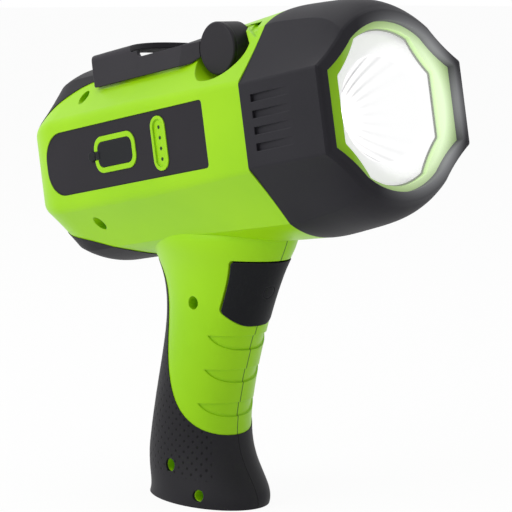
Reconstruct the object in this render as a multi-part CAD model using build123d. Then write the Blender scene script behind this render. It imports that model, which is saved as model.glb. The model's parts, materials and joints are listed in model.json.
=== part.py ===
from build123d import *

# Handheld searchlight on a pistol grip, with a fold-up stand over its head.
# It stands on the flat base of its foot: +Z is up, +X is the way the beam points as
# seen from above, and the origin is the centre of the base face.
# The head is drawn in a beam frame, x along the beam from the front crease of the
# bezel, y to the left, z up, and is then tilted up and set over the foot.

import os
from collections import namedtuple
from math import atan2, cos, hypot, radians, sin, sqrt, tan

os.makedirs("parts", exist_ok=True)

# Head over the foot
beam_tilt = 10.8
lip_ahead = 148.4
lip_height = 231.8

# Head outline at the bezel and behind it
ear_half_width = 52.5
ear_half_height = 22.0
ear_corner = 2.0
head_crown = 62.0
bezel_shoulder_radius = 60.0
bezel_shoulder_angle = 61.5
flank_hollow = 0.5
body_half_height_front = 23.0
body_corner_front = 5.0
body_half_height = 25.0
body_corner = 8.0
body_crown = 58.0
body_shoulder_angle = 59.8
least_corner = 0.8
bezel_length = 58.8
taper_end = 150.0
dome_start = 228.0
dome_length = 42.0
dome_power = 2.3
dome_end_share = 0.97
ear_inset_share = 0.4

# Walls and fits
wall = 3.0
skin = 1.3
skin_proud = 0.4
skin_gap = 0.1
fit = 0.3
running_fit = 0.05
screw_fit = 0.02
overrun = 1.0
reach = 400.0
rib_root_share = 0.6

# Edge of the soft overmould
overmould_top = 46.0
overmould_front = 118.0

# Front of the bezel
crease_radius = 51.0
crease_angle = 52.0
crease_hollow = 0.9
bezel_wall = 3.0
lip_width = 6.6
lip_rise = 2.0
lip_rear = 2.8
vent_pitch = 8.5
vent_height = 4.0
vent_length = 29.6
vent_rear = 50.6
vent_depth = 1.9
vent_count = 4
vent_up = 0.7

# Nose of the shells inside the bezel
nose_gap = 0.1
nose_wall = 2.2
nose_root = 4.0
ledge_thickness = 2.0
front_ring_thickness = 3.4
window_half_width = 35.0
window_half_height = 17.0
window_corner = 3.0
window_radius = 41.0
window_angle = 60.0

# Lens and reflector
gasket_thickness = 0.8
gasket_show = 0.9
lens_thickness = 2.4
flange_thickness = 1.6
bowl_radius = 28.0
bowl_throat = 8.5
bowl_depth = 30.0
bowl_wall = 1.4

# Lamp and heat sink
board_radius = 16.5
board_thickness = 1.6
emitter_radius = 7.0
emitter_height = 1.4
sink_radius = 28.0
sink_base = 4.8
sink_fin_radius = 24.0
sink_fin_length = 22.0
sink_fin_count = 9
sink_fin_thickness = 2.0
sink_core_radius = 9.0
sink_bore_radius = 5.0
sink_seat_thickness = 2.4
lamp_screw_count = 3
lamp_screw_circle = 13.8
lamp_screw_radius = 1.0
lamp_screw_head = 1.7
lamp_screw_head_height = 1.2
lamp_screw_length = 4.5

# Grip and foot
grip_height = 160.0
grip_half_depth = 31.0
grip_half_width = 25.0
groove_depth = 1.1
groove_pitch = 20.0
groove_top = 99.2
groove_height = 9.0
groove_belly_share = 0.7

# Clamshell screws and their bosses
boss_radius = 5.4
well_radius = 3.75
well_rim = 0.9
screw_radius = 1.5
screw_head_radius = 3.0
screw_head_height = 2.4
screw_seat = 9.0
screw_length = 21.0
rear_screw_back = 208.0
rear_screw_up = 37.2
low_screw_back = 206.0
low_screw_down = 35.9
grip_screw_ahead = 15.0
grip_screw_height = 117.0
foot_screw_behind = 2.0
foot_screw_height = 21.8

# Lanyard hole through the foot
lanyard_ahead = 19.7
lanyard_height = 7.2
lanyard_radius = 3.1
lanyard_wall = 1.4

# Side panels
panel_front = 90.3
panel_rear = 236.0
panel_half_height = 18.2
panel_up = 0.7
panel_thickness = 1.2
panel_sunk = 0.5
panel_fit = 0.1
panel_corner = 2.0
panel_rear_corner = 16.0

# Charging port and its tethered cover
port_back = 169.8
port_up = 1.2
port_length = 31.0
port_height = 14.0
port_corner = 4.0
ring_width = 3.3
port_recess = 2.4
port_boss_depth = 6.5
port_bore = 4.2
cover_thickness = 2.0
plug_radius = 3.0
plug_length = 2.4
neck_width = 4.4
neck_thickness = 0.9
hinge_behind = 2.3
anchor_back = 191.4
anchor_radius = 2.9
anchor_height = 1.0
anchor_stem_radius = 1.3
jack_length = 14.0
jack_height = 11.0
jack_depth = 10.0
jack_bore = 2.8
jack_bore_depth = 8.5
jack_pin_radius = 1.0
jack_pin_length = 7.0

# Charge indicator
pill_back = 129.6
pill_up = 0.8
pill_width = 12.4
pill_height = 30.0
pill_corner = 6.0
pill_rim = 1.9
pill_recess = 1.0
pill_boss_depth = 5.5
light_count = 4
light_pitch = 5.83
light_radius = 0.95
light_fit = 0.05
indicator_board_thickness = 1.6

# Stand, its hub and its pin
hub_back = 91.0
hub_up = 46.0
hub_radius = 14.3
hub_half_width = 36.4
cap_thickness = 2.6
cap_bevel = 0.7
lug_half_width = 21.5
washer_thickness = 0.7
washer_radius = 9.0
washer_play = 0.1
pin_radius = 3.0
pin_boss_radius = 6.0
pocket_gap = 3.0
pocket_wall = 2.0
notch_depth = 1.8
arm_rear = 200.0
arm_low = 41.1
arm_half_width = 40.4
arm_lean = 1.9
arm_shoulder_up = 60.3
arm_shoulder = 4.5
arm_crown = 64.6
arm_thickness = 2.2
arm_crown_thickness = 3.4
arm_corner = 5.0
rail_up = 52.0
gap_rear = 184.0
gap_corner_rear = 156.0
gap_corner = 3.0
gusset_rear = 124.0
gusset_inner = 29.9

# Battery
cell_radius = 9.2
cell_length = 65.0
cell_count = 3
cell_gap = 0.6
cell_fit = 0.1
tray_rear = 235.0
tray_wall = 2.0
tray_down = 12.0
tray_side_height = 9.0
tray_end_height = 16.0
strip_thickness = 0.4
strip_height = 6.0
shelf_thickness = 2.0
shelf_reach = 7.0

# Driver board
driver_rear = 150.0
driver_front = 104.0
driver_half_width = 20.0
driver_down = 20.4
driver_thickness = 1.6
driver_part_height = 6.0
driver_part_length = 12.0
driver_part_width = 8.0

# Leads
lead_radius = 0.9
lead_half_gap = 2.4
bend_share = 0.45
lead_drop = 9.0
lamp_lead_inset = 8.0
battery_lead_inset = 6.0
battery_lead_rise = 6.0
battery_lead_run = 8.0
charge_lead_inset = 12.0
charge_lead_side = 15.0
charge_lead_run = 14.0
charge_lead_out = 3.0
switch_lead_run = 10.0
switch_lead_ahead = 10.0
switch_lead_height = 163.0
switch_lead_inset = 14.0
switch_lead_drop = 12.0

# Trigger and switch, along a line square to the front of the grip
trigger_tilt = 27.2
trigger_ahead = 52.0
trigger_mark_height = 124.7
trigger_top = 142.4
trigger_back_top = 44.1
trigger_back_bottom = 33.1
trigger_low = 113.2
trigger_front_low = 105.0
trigger_corner = 3.0
trigger_travel = 1.2
trigger_proud = 0.5
trigger_thickness = 4.4
flange_width = 1.6
flange_depth = 1.1
trigger_mark_radius = 4.2
trigger_mark_width = 0.6
trigger_mark_depth = 0.4
stem_radius = 4.5
stem_length = 24.0
guide_behind = 18.0
guide_thickness = 3.0
guide_half_height = 9.0
spring_wall = 0.9
spring_front = 5.8
switch_behind = 27.0
switch_length = 14.0
switch_half_height = 6.5
switch_half_width = 6.0
switch_rib = 2.0
plunger_radius = 1.8
plunger_inside = 4.0
plunger_play = 0.05

tilt = radians(beam_tilt)
beam = Location((lip_ahead, 0, lip_height), (0, -beam_tilt, 0))
squeeze = Location((trigger_ahead, 0, trigger_mark_height), (0, trigger_tilt, 0))
nose_inset = bezel_wall + nose_gap
nose_inner = nose_inset + nose_wall
nose_front = lip_rear + front_ring_thickness
lens_front = nose_front + gasket_thickness
flange_front = lens_front + lens_thickness
ledge_front = flange_front + flange_thickness
board_front = flange_front + bowl_depth
sink_front = board_front + board_thickness
sink_seat = sink_front + sink_base
pocket_radius = hub_radius + pocket_gap
knuckle_inner = lug_half_width + washer_thickness + washer_play
knuckle_outer = hub_half_width - cap_thickness
panel_face_y = ear_half_width - panel_sunk
panel_floor_y = panel_face_y - panel_thickness
hinge_back = port_back + port_length / 2 + hinge_behind
tray_length = cell_length + 2 * (strip_thickness + cell_fit + tray_wall)
tray_half_width = cell_count * cell_radius + (cell_count - 1) * cell_gap / 2 + cell_fit + tray_wall
tray_floor = tray_down + tray_wall
driver_under = driver_down + driver_thickness
guide_rear = guide_behind + guide_thickness
switch_rear = switch_behind + switch_length

Outline = namedtuple("Outline", "half_width half_height corner radius angle crown hollow")
bezel_rear = Outline(
    ear_half_width,
    ear_half_height,
    ear_corner,
    bezel_shoulder_radius,
    bezel_shoulder_angle,
    head_crown,
    flank_hollow,
)
crease = Outline(
    ear_half_width, ear_half_height, ear_corner, crease_radius, crease_angle, crease_radius, crease_hollow
)
body_front = Outline(
    ear_half_width,
    body_half_height_front,
    body_corner_front,
    bezel_shoulder_radius,
    bezel_shoulder_angle,
    head_crown,
    flank_hollow,
)
body_rear = Outline(
    ear_half_width, body_half_height, body_corner, body_crown, body_shoulder_angle, body_crown, flank_hollow
)
window = Outline(
    window_half_width,
    window_half_height,
    window_corner,
    window_radius,
    window_angle,
    window_radius,
    crease_hollow,
)


def in_beam(back, up):
    """A point of the beam frame, seen from the side, in the frame of the whole light."""
    ahead = lip_ahead - back * cos(tilt) - up * sin(tilt)
    return (ahead, lip_height - back * sin(tilt) + up * cos(tilt))


def between(first, second, share):
    """An outline part of the way from one to another."""
    return Outline(*(a + (b - a) * share for a, b in zip(first, second)))


def quarter(outline, inset, scale):
    """Points of the upper left quarter: side end, corner bend, corner end, flank middle, shoulder."""
    ear = (outline.half_width - inset, outline.half_height - inset * ear_inset_share)
    radius = outline.radius - inset
    shoulder = (radius * cos(radians(outline.angle)), radius * sin(radians(outline.angle)))
    length = hypot(shoulder[0] - ear[0], shoulder[1] - ear[1])
    along = ((shoulder[0] - ear[0]) / length, (shoulder[1] - ear[1]) / length)
    turn = atan2(-along[0], along[1])
    corner = max(outline.corner - inset, least_corner)
    low = (ear[0], ear[1] - corner * tan(turn / 2))
    bend = (ear[0] - corner * (1 - cos(turn / 2)), low[1] + corner * sin(turn / 2))
    high = (ear[0] + along[0] * corner * tan(turn / 2), ear[1] + along[1] * corner * tan(turn / 2))
    middle = (
        (high[0] + shoulder[0]) / 2 - along[1] * outline.hollow,
        (high[1] + shoulder[1]) / 2 + along[0] * outline.hollow,
    )
    return [(y * scale, z * scale) for y, z in (low, bend, high, middle, shoulder)]


def lobed_face(back, outline, inset=0, scale=1):
    """Section across the beam: flat ears, slightly hollow flanks, round lobes above and below."""
    low, bend, high, middle, shoulder = quarter(outline, inset, scale)
    crown = (0, (outline.crown - inset) * scale)

    def at(point, side, rise):
        return (-back, point[0] * side, point[1] * rise)

    edges = []
    for side, rise in ((1, 1), (-1, -1)):
        edges.append(Line(at(low, side, -rise), at(low, side, rise)))
        edges.append(ThreePointArc(at(low, side, rise), at(bend, side, rise), at(high, side, rise)))
        edges.append(ThreePointArc(at(high, side, rise), at(middle, side, rise), at(shoulder, side, rise)))
        edges.append(ThreePointArc(at(shoulder, side, rise), at(crown, side, rise), at(shoulder, -side, rise)))
        edges.append(ThreePointArc(at(shoulder, -side, rise), at(middle, -side, rise), at(high, -side, rise)))
        edges.append(ThreePointArc(at(high, -side, rise), at(bend, -side, rise), at(low, -side, rise)))
    return make_face(Wire(edges))


def plate(back, thickness, outline, inset=0):
    """A plate of one outline, from a distance behind the crease rearwards."""
    return extrude(lobed_face(back, outline, inset), thickness, dir=(-1, 0, 0))


def slab(rear, front):
    """Everything between two distances behind the crease."""
    return Pos(-(rear + front) / 2, 0, 0) * Box(rear - front, reach, reach)


def block(x0, x1, y0, y1, z0, z1):
    return Pos((x0 + x1) / 2, (y0 + y1) / 2, (z0 + z1) / 2) * Box(x1 - x0, y1 - y0, z1 - z0)


def bar_x(y, z, radius, x0, x1):
    """A round bar along X."""
    return Pos((x0 + x1) / 2, y, z) * Rot(0, 90, 0) * Cylinder(radius, abs(x1 - x0))


def bar_y(x, z, radius, y0, y1):
    """A round bar along Y."""
    return Pos(x, (y0 + y1) / 2, z) * Rot(90, 0, 0) * Cylinder(radius, abs(y1 - y0))


def side_face(points, radius=0):
    """A face in the side view through points given as (x, z), all corners rounded alike."""
    face = make_face(Polyline(*((x, 0, z) for x, z in points), close=True))
    return fillet(face.vertices(), radius) if radius else face


def across(face, y0, y1):
    """A side view face carried from one distance across to another."""
    return Pos(0, y0, 0) * extrude(face, y1 - y0, dir=(0, 1, 0))


def rounded(x, z, length, height, corner):
    """A rounded rectangle in the side view."""
    half_length, half_height = length / 2, height / 2
    corners = ((-1, -1), (1, -1), (1, 1), (-1, 1))
    return side_face([(x + i * half_length, z + j * half_height) for i, j in corners], corner)


def bezel_outline(back):
    """Outline of the bezel at a distance behind its front crease."""
    swell_shares = ((0, 0), (0.2, 0.6), (0.46, 0.84), (0.8, 1), (1, 1))
    share = back / bezel_length
    for (near, low), (far, high) in zip(swell_shares, swell_shares[1:]):
        if share <= far:
            return between(crease, bezel_rear, low + (high - low) * (share - near) / (far - near))
    return bezel_rear


def bezel_form(inset):
    """The bezel's outer form, drawn in by an inset, and then with a straight tail behind it."""
    station_shares = (0, 0.2, 0.46, 0.8, 1)
    faces = [lobed_face(bezel_length * s, bezel_outline(bezel_length * s), inset) for s in station_shares]
    form = loft(faces)
    return form + plate(bezel_length, overrun, bezel_rear, inset) if inset else form


def head_form(inset):
    """The head behind the bezel, drawn in by an inset, with a domed rear."""
    front = lobed_face(bezel_length, body_front, inset)
    middle = lobed_face(taper_end, body_rear, inset)
    rear = lobed_face(dome_start, body_rear, inset)
    form = loft([front, middle, rear], ruled=True)
    step_shares = (0, 0.3, 0.55, 0.75, 0.9, dome_end_share)
    faces = []
    for step in step_shares:
        scale = (1 - step**dome_power) ** (1 / dome_power)
        faces.append(lobed_face(dome_start + (dome_length - inset) * step, body_rear, inset, scale))
    return form + loft(faces)


def grip_form(inset):
    """The grip with its flared foot, drawn in by an inset, up into the head."""
    # Each row: height, middle ahead of the origin, half depth, half width
    station_shares = (
        (0.000, 0.00, 1.355, 1.100),
        (0.070, -0.02, 1.290, 1.110),
        (0.150, -0.17, 1.150, 1.085),
        (0.220, -0.21, 1.045, 1.070),
        (0.350, -0.13, 0.995, 1.032),
        (0.525, 0.09, 1.022, 1.000),
        (0.700, 0.31, 1.160, 0.975),
        (0.790, 0.37, 1.330, 0.970),
        (0.875, 0.37, 1.560, 1.060),
        (1.000, 0.37, 1.850, 1.150),
    )
    faces = []
    for up, ahead, deep, wide in station_shares:
        ellipse = Ellipse(grip_half_depth * deep - inset, grip_half_width * wide - inset)
        faces.append(Pos(ahead * grip_half_depth, 0, up * grip_height) * ellipse)
    form = loft(faces)
    return form - block(-reach, reach, -reach, reach, -reach, inset) if inset > 0 else form


def whole_form(inset):
    return beam * head_form(inset) + grip_form(inset)


def green_edge():
    """Side view of the part of the shells that the soft overmould leaves bare."""
    high = overmould_top
    head_shares = (
        (-0.60, 1.00),
        (0.10, 0.83),
        (0.60, 0.50),
        (0.91, 0.21),
        (0.96, -0.10),
        (0.72, -0.72),
        (0.12, -0.93),
        (-0.30, -1.06),
        (-0.66, -1.19),
        (-1.00, -1.42),
    )
    grip_shares = (
        (-0.56, 0.80),
        (-0.35, 0.66),
        (-0.27, 0.54),
        (-0.10, 0.42),
        (0.14, 0.337),
        (0.52, 0.274),
        (0.97, 0.245),
    )
    arc = [in_beam(dome_start + dome_length * back, high * up) for back, up in head_shares]
    arc += [(grip_half_depth * ahead, grip_height * up) for ahead, up in grip_shares]
    ends = [
        (reach / 2, grip_height * grip_shares[-1][1]),
        (reach / 2, reach),
        in_beam(overmould_front, reach / 2),
        in_beam(overmould_front, high),
    ]
    rim = Spline(*((x, 0, z) for x, z in arc))
    line = Polyline((arc[-1][0], 0, arc[-1][1]), *((x, 0, z) for x, z in ends), (arc[0][0], 0, arc[0][1]))
    return make_face(Wire([rim, *line.edges()]))


def panel_outline(grow):
    """Side view of a panel: square front corners, round rear ones."""
    x0, x1 = -panel_rear - grow, -panel_front + grow
    z0, z1 = panel_up - panel_half_height - grow, panel_up + panel_half_height + grow
    face = side_face([(x0, z0), (x1, z0), (x1, z1), (x0, z1)])
    corners = face.vertices().sort_by(Axis.X)
    face = fillet(corners[2:], panel_corner + grow)
    return fillet(face.vertices().sort_by(Axis.X)[:2], panel_rear_corner + grow)


def port_outline(grow):
    length, height = port_length + 2 * grow, port_height + 2 * grow
    return rounded(-port_back, port_up, length, height, port_corner + grow)


def pill_outline(grow):
    length, height = pill_width + 2 * grow, pill_height + 2 * grow
    return rounded(-pill_back, pill_up, length, height, pill_corner + grow)


def light_places():
    start = pill_up - (light_count - 1) * light_pitch / 2
    return [start + i * light_pitch for i in range(light_count)]


def trigger_outline():
    """Side view of the trigger, open past the front of the grip."""
    ahead = trigger_ahead + grip_half_depth
    points = [
        (trigger_back_top, trigger_top),
        (trigger_back_bottom, trigger_low),
        (trigger_back_bottom + (trigger_low - trigger_front_low), trigger_front_low),
        (ahead, trigger_front_low - (trigger_low - trigger_front_low) / 2),
        (ahead, trigger_top),
    ]
    return side_face(points, trigger_corner)


def screw_places():
    """Where the clamshell screws cross the side view."""
    return [
        in_beam(rear_screw_back, rear_screw_up),
        in_beam(low_screw_back, -low_screw_down),
        (grip_screw_ahead, grip_screw_height),
        (-foot_screw_behind, foot_screw_height),
    ]


def finger_grooves():
    """Three shallow leaf-shaped grooves round the front of the grip."""
    tip_shares = (0.77, 0.64, 0.47)
    layer = grip_form(-overrun) - grip_form(groove_depth)
    leaves = []
    for i, tip in enumerate(tip_shares):
        x, z = tip * grip_half_depth, groove_top - i * groove_pitch
        top = Line((x, 0, z), (x + 2 * grip_half_depth, 0, z))
        end = Line((x + 2 * grip_half_depth, 0, z), (x + 2 * grip_half_depth, 0, z - groove_height))
        front = (x + grip_half_depth / 2, 0, z - groove_height)
        low = Line((x + 2 * grip_half_depth, 0, z - groove_height), front)
        bow = ThreePointArc(front, (x + grip_half_depth / 5, 0, z - groove_height * groove_belly_share), (x, 0, z))
        leaves.append(layer & across(make_face(Wire([top, end, low, bow])), -reach / 4, reach / 4))
    return leaves


def nose():
    """Tube of the shells inside the bezel, with the seats of the reflector and the heat sink."""
    tube = (bezel_form(nose_inset) & slab(bezel_length, nose_front)) - bezel_form(nose_inner)
    root = (head_form(0) & slab(bezel_length + nose_root, bezel_length)) - head_form(nose_inner)
    root_inset = nose_inset + nose_wall * rib_root_share
    ledge = plate(ledge_front, ledge_thickness, bezel_outline(ledge_front), root_inset)
    ledge -= plate(ledge_front - overrun, ledge_thickness + 2 * overrun, window)
    seat = plate(sink_seat, sink_seat_thickness, bezel_outline(sink_seat), root_inset)
    seat -= bar_x(0, 0, sink_fin_radius + fit, -sink_seat - sink_seat_thickness - overrun, -sink_seat + overrun)
    return beam * (tube + root + ledge + seat)


def inner_ribs():
    """Shelves, guides and bosses inside the shells."""
    shelves = []
    for side in (-1, 1):
        wide = sorted((side * (tray_half_width - shelf_reach), side * reach / 4))
        under = -tray_floor - shelf_thickness
        shelves.append(block(-tray_rear, -tray_rear + tray_length, *wide, under, -tray_floor))
        wide = sorted((side * (driver_half_width - shelf_reach), side * reach / 4))
        shelves.append(block(-driver_rear, -driver_front, *wide, -driver_under - shelf_thickness, -driver_under))
    guide = block(-guide_rear, -guide_behind, -reach / 4, reach / 4, -guide_half_height, guide_half_height)
    guide -= bar_x(0, 0, stem_radius + running_fit, -guide_rear - overrun, -guide_behind + overrun)
    cradle_end = switch_rear + fit + switch_rib
    cradle_height = switch_half_height + switch_rib
    cradle = block(-cradle_end, -switch_behind, -reach / 4, reach / 4, -cradle_height, cradle_height)
    inside = switch_half_height + running_fit
    cradle -= block(-switch_rear - fit, -switch_behind + overrun, -reach / 4, reach / 4, -inside, inside)
    for side in (-1, 1):
        cradle -= bar_x(side * lead_half_gap, 0, lead_radius + fit, -cradle_end - overrun, -switch_rear)
    ribs = beam * (shelves[0] + shelves[1:]) + squeeze * (guide + cradle)
    return ribs & whole_form(wall * rib_root_share)


def pocket_outline(grow):
    """Side view of a hub pocket: round about the pin, with a lobe that runs forward and down."""
    slope_shares = ((0, 1), (0.64, 0.74), (0.98, 0.35), (1.44, -0.09))
    sweep_shares = ((1.44, -0.09), (1.42, -0.4), (1.1, -0.75), (0.55, -0.97), (0, -1))

    radius = pocket_radius + grow

    def at(share):
        return (-hub_back + share[0] * radius, 0, hub_up + share[1] * radius)

    slope = Polyline(*(at(share) for share in slope_shares))
    rounding = Spline(*(at(share) for share in sweep_shares))
    back = Line(at(sweep_shares[-1]), at(slope_shares[0]))
    return make_face(Wire([*slope.edges(), rounding, back]))


def pocket(side, grow):
    """One hub pocket, cut from its inner wall outwards."""
    start = side * (lug_half_width - grow)
    lobe = across(pocket_outline(grow), *sorted((start, side * reach / 4)))
    return lobe + bar_y(-hub_back, hub_up, pocket_radius + grow, start, side * reach / 4)


def hub_liner():
    """Walls of the two pockets for the stand's knuckles, and the boss of its pin."""
    inner = lug_half_width - pocket_wall
    cups = head_form(skin / 2) & (pocket(-1, pocket_wall) + pocket(1, pocket_wall))
    return beam * (cups + bar_y(-hub_back, hub_up, pin_boss_radius, -inner, inner))


def notches():
    """Shallow triangular relief ahead of each hub pocket."""
    corner_shares = ((0.72, 0.6), (1.4, 0.58), (1.78, -0.05))
    corners = [(-hub_back + x * pocket_radius, hub_up + z * pocket_radius) for x, z in corner_shares]
    layer = head_form(-overrun) - head_form(notch_depth)
    return beam * (layer & across(side_face(corners), -reach / 4, reach / 4))


def housings():
    """Both shells: the bare form, hollowed, with everything that they carry or let through."""
    outer, core = whole_form(0), whole_form(skin)
    shell = (outer & across(green_edge(), -reach / 2, reach / 2)) + core - whole_form(wall)
    for groove in finger_grooves():
        shell -= groove
    opening = offset(trigger_outline(), fit, kind=Kind.ARC)
    for step in (0, trigger_travel / 2, trigger_travel):
        shift = Pos(-step * cos(radians(trigger_tilt)), 0, step * sin(radians(trigger_tilt)))
        shell -= shift * across(opening, -reach / 4, reach / 4)
    shell -= notches()
    shell = shell + nose() + inner_ribs() + hub_liner()
    for side in (-1, 1):
        shell -= beam * pocket(side, 0)
        recess = across(panel_outline(panel_fit), *sorted((side * panel_floor_y, side * reach / 4)))
        shell -= beam * recess
    shell -= beam * bar_y(-hub_back, hub_up, pin_radius + running_fit, -reach / 4, reach / 4)
    tube = bar_y(lanyard_ahead, lanyard_height, lanyard_radius + lanyard_wall, -reach / 4, reach / 4)
    shell = shell + (tube & core) - bar_y(lanyard_ahead, lanyard_height, lanyard_radius, -reach / 4, reach / 4)
    right = shell & block(-reach, reach, -reach, 0, -reach, reach)
    left = shell & block(-reach, reach, 0, reach, -reach, reach)
    for x, z in screw_places():
        right += bar_y(x, z, boss_radius, -reach / 4, 0) & core
        right += bar_y(x, z, well_radius + well_rim, -reach / 4, -screw_seat) & core
        right -= bar_y(x, z, well_radius, -reach / 4, -screw_seat)
        right -= bar_y(x, z, screw_radius + fit, -screw_seat - overrun, overrun)
        left += bar_y(x, z, boss_radius, 0, reach / 4) & core
        left -= bar_y(x, z, screw_radius + screw_fit, -overrun, screw_length - screw_seat + overrun)
    return right, left


def port_and_pill(right):
    """The raised rings of the charging port and the indicator, on the right shell."""
    ring = across(port_outline(ring_width), -ear_half_width, -ear_half_width + port_boss_depth)
    pill = across(pill_outline(0), -ear_half_width, -ear_half_width + pill_boss_depth)
    right += beam * (ring + pill)
    right -= beam * across(port_outline(fit), -reach / 4, -ear_half_width + port_recess)
    right -= beam * bar_y(-port_back, port_up, port_bore, -reach / 4, -ear_half_width + port_boss_depth + overrun)
    channel = block(
        -hinge_back - ring_width,
        -port_back - port_length / 2,
        -reach / 4,
        -panel_face_y + fit,
        port_up - neck_width / 2 - fit,
        port_up + neck_width / 2 + fit,
    )
    right -= beam * channel
    right -= beam * bar_y(-anchor_back, port_up, anchor_stem_radius + panel_fit, -reach / 4, -reach / 12)
    right -= beam * across(pill_outline(-pill_rim), -reach / 4, -ear_half_width + pill_recess)
    for z in light_places():
        hole_end = -ear_half_width + pill_boss_depth + overrun
        right -= beam * bar_y(-pill_back, z, light_radius + light_fit, -reach / 4, hole_end)
    return right


def overmoulds():
    """The soft layer round the rear, the back of the grip and the foot, in two halves."""
    black = whole_form(-skin_proud) - whole_form(skin - skin_gap)
    black -= across(green_edge(), -reach / 2, reach / 2)
    black -= bar_y(lanyard_ahead, lanyard_height, lanyard_radius + fit, -reach / 4, reach / 4)
    for x, z in screw_places():
        black -= bar_y(x, z, well_radius, -reach / 4, 0)
    right = black & block(-reach, reach, -reach, 0, -reach, reach)
    left = black & block(-reach, reach, 0, reach, -reach, reach)
    return right, left


def front_bezel():
    """The rubber boot over the nose: rolled lip, lobed opening, four tapering vents on each ear."""
    rise_shares = ((0, 0), (0.5, 0.16), (0.88, 0.5), (1, 1))
    lip = loft([lobed_face(-lip_rise * up, crease, lip_width * wide) for up, wide in rise_shares], ruled=True)
    boot = bezel_form(0) + lip
    boot -= bezel_form(bezel_wall) & slab(bezel_length + 2 * overrun, lip_rear)
    boot -= plate(-lip_rise - overrun, lip_rise + lip_rear + 2 * overrun, crease, lip_width)
    first = vent_up - (vent_count - 1) * vent_pitch / 2
    wedge = [
        (-vent_rear, ear_half_width - vent_depth),
        (-vent_rear, ear_half_width + overrun),
        (-vent_rear + vent_length, ear_half_width + overrun),
        (-vent_rear + vent_length, ear_half_width),
    ]
    wedge_face = make_face(Polyline(*((x, y, 0) for x, y in wedge), close=True))
    for side in (0, 180):
        for i in range(vent_count):
            low = first + i * vent_pitch - vent_height / 2
            vent = Pos(0, 0, low) * extrude(wedge_face, vent_height, dir=(0, 0, 1))
            boot -= mirror(vent, Plane.XZ) if side else vent
    return beam * boot


def inside_nose(back, thickness):
    """A plate that fills the nose at a distance behind the crease, with a fit all round."""
    return plate(back, thickness, bezel_outline(back), nose_inner + fit)


def front_stack():
    """Ring, gasket, lens and reflector flange, one behind the other."""
    ring = plate(lip_rear, front_ring_thickness, bezel_outline(lip_rear), nose_inset)
    ring -= plate(lip_rear - overrun, front_ring_thickness + 2 * overrun, window)
    gasket = inside_nose(nose_front, gasket_thickness)
    gasket -= plate(nose_front - overrun, gasket_thickness + 2 * overrun, window, gasket_show)
    lens = inside_nose(lens_front, lens_thickness)
    return beam * ring, beam * gasket, beam * lens


def bowl_curve(grow):
    """Points along the bowl's wall, from the throat to the rim, a parabola."""
    step_shares = (0, 0.08, 0.25, 0.5, 0.75, 1)
    points = []
    for s in step_shares:
        radius = sqrt(bowl_throat**2 + (bowl_radius**2 - bowl_throat**2) * s)
        points.append((-board_front + bowl_depth * s, 0, radius + grow))
    return points


def reflector():
    """A lobed flange with a parabolic bowl behind it."""
    flange = inside_nose(flange_front, flange_thickness)
    inner, outer = bowl_curve(0), bowl_curve(bowl_wall)
    cut = make_face(
        Wire(
            [
                Spline(*inner),
                Line(inner[-1], outer[-1]),
                Spline(*reversed(outer)),
                Line(outer[0], inner[0]),
            ]
        )
    )
    core = make_face(
        Wire(
            [
                Spline(*inner),
                Line(inner[-1], (inner[-1][0], 0, 0)),
                Line((inner[-1][0], 0, 0), (inner[0][0], 0, 0)),
                Line((inner[0][0], 0, 0), inner[0]),
            ]
        )
    )
    return beam * (flange + revolve(cut, Axis.X) - revolve(core, Axis.X))


def lamp():
    """Emitter, its round board, the finned heat sink and their screws."""
    emitter = bar_x(0, 0, emitter_radius, -board_front, -board_front + emitter_height)
    board = bar_x(0, 0, board_radius, -sink_front, -board_front)
    sink = bar_x(0, 0, sink_radius, -sink_seat, -sink_front)
    fin_rear = -sink_seat - sink_fin_length
    fins = bar_x(0, 0, sink_core_radius, fin_rear, -sink_seat)
    round_off = bar_x(0, 0, sink_fin_radius, fin_rear, -sink_seat)
    pitch = 2 * (sink_fin_radius - sink_fin_thickness) / (sink_fin_count - 1)
    for i in range(sink_fin_count):
        y = -sink_fin_radius + sink_fin_thickness + i * pitch - sink_fin_thickness / 2
        fins += block(fin_rear, -sink_seat, y, y + sink_fin_thickness, -reach / 4, reach / 4) & round_off
    sink = sink + fins - bar_x(0, 0, sink_bore_radius, fin_rear - overrun, -sink_front + overrun)
    screws = []
    for i in range(lamp_screw_count):
        angle = radians(90 + i * 360 / lamp_screw_count)
        y, z = lamp_screw_circle * cos(angle), lamp_screw_circle * sin(angle)
        head = bar_x(y, z, lamp_screw_head, -board_front, -board_front + lamp_screw_head_height)
        screws.append(head + bar_x(y, z, lamp_screw_radius, -board_front - lamp_screw_length, -board_front))
        end = -board_front - lamp_screw_length - fit
        hole = bar_x(y, z, lamp_screw_radius + screw_fit, end, -board_front + overrun)
        board -= hole
        sink -= hole
    return beam * emitter, beam * board, beam * sink, [beam * screw for screw in screws]


def side_panels():
    """The black inserts let into both sides, the right one cut out for port and indicator."""
    face = panel_outline(0)
    left = across(face, panel_floor_y, panel_face_y)
    right = across(face, -panel_face_y, -panel_floor_y)
    right -= across(port_outline(ring_width + panel_fit), -reach / 4, 0)
    right -= across(pill_outline(panel_fit), -reach / 4, 0)
    right -= bar_y(-anchor_back, port_up, anchor_stem_radius + panel_fit, -reach / 4, 0)
    return beam * right, beam * left


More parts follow.
